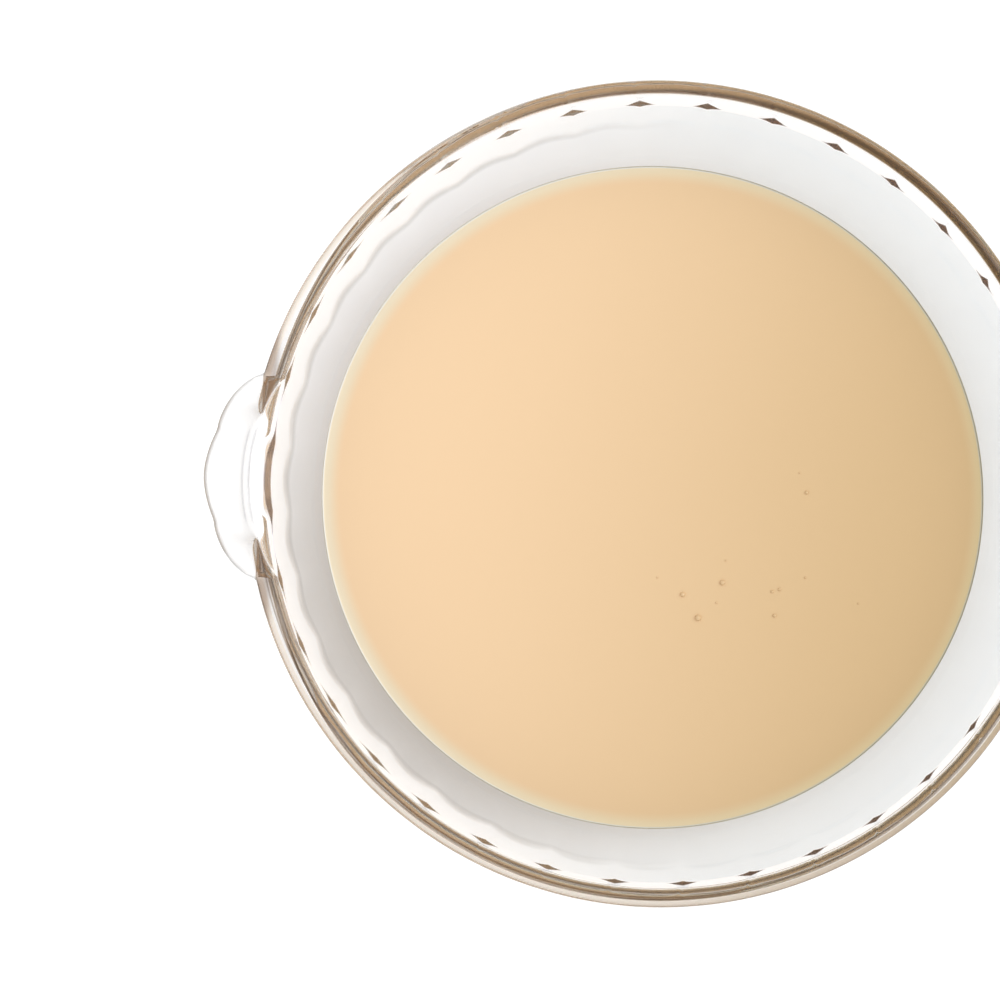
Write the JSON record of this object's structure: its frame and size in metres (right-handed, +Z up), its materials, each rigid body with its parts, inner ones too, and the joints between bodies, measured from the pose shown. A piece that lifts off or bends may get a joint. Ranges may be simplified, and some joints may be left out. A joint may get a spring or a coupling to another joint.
{
  "type": "glass pie dish of condensed milk",
  "caption": "Clear glass pie dish with a fluted inner edge, a beaded rim and lobed tab handles, holding a shallow, glossy fill of pale caramel condensed milk.",
  "frame": {"origin": "on the dish's axis, at the level of its foot ring", "axes": "+Z up along the dish's axis, +X along the line through the handles"},
  "size_m": [0.2806, 0.254, 0.045],
  "materials": {
    "glass": "clear pressed glass, polished",
    "milk": "smooth, glossy, slightly see-through cream"
  },
  "bodies": {
    "root": {"glass_dish": "glass", "condensed_milk": "milk"}
  },
  "joints": []
}
